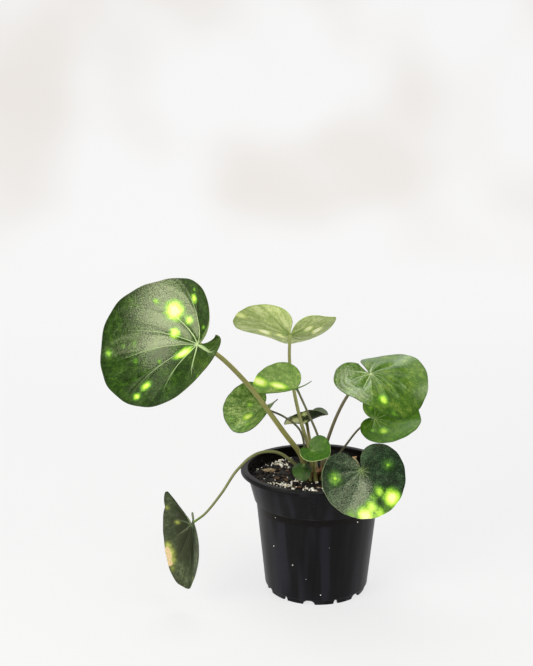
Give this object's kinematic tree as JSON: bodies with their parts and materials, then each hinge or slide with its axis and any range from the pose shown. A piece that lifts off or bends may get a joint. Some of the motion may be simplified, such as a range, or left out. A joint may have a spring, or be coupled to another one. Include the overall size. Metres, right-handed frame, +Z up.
{
  "type": "potted leopard plant",
  "caption": "House plant with round, yellow-spotted, notched leaves on arching stalks, standing in a black tapered nursery pot filled with soil.",
  "frame": {"origin": "on the floor under the centre of the pot, 2 mm below the underside of its base plate", "axes": "+Z up, -Y towards the viewer of the picture, +X to the viewer's right"},
  "size_m": [0.3317, 0.1982, 0.3381],
  "materials": {
    "pot_plastic": "satin black moulded polypropylene",
    "soil_mix": "moist peat mix with white perlite grains",
    "crown_fibre": "dry reddish-brown leaf bases",
    "leaf_green": "glossy mid-green leaf with soft-edged yellow spots and a pale matte underside",
    "leaf_dark": "dark bluish-green leaf with soft-edged yellow spots",
    "stalk_olive": "olive-brown stalk with fine ridges",
    "bark": "tan bark chip",
    "dry_leaf": "orange-tan dry leaf flake"
  },
  "bodies": {
    "root": {"pot": "pot_plastic", "soil": "soil_mix", "crown": "crown_fibre", "blade_upper_left": "leaf_green", "blade_top": "leaf_green", "blade_middle": "leaf_green", "blade_left": "leaf_green", "blade_back_small": "leaf_green", "blade_upper_right": "leaf_green", "blade_right": "leaf_green", "blade_front_right": "leaf_dark", "blade_small_heart": "leaf_green", "blade_small_round": "leaf_green", "blade_low_left": "leaf_dark", "stalk_upper_left": "stalk_olive", "stalk_top": "stalk_olive", "stalk_middle": "stalk_olive", "stalk_left": "stalk_olive", "stalk_back_small": "stalk_olive", "stalk_upper_right": "stalk_olive", "stalk_right": "stalk_olive", "stalk_front_right": "stalk_olive", "stalk_small_heart": "stalk_olive", "stalk_small_round": "stalk_olive", "stalk_low_left": "stalk_olive", "bark_chip": "bark", "dry_flake": "dry_leaf"}
  },
  "joints": []
}
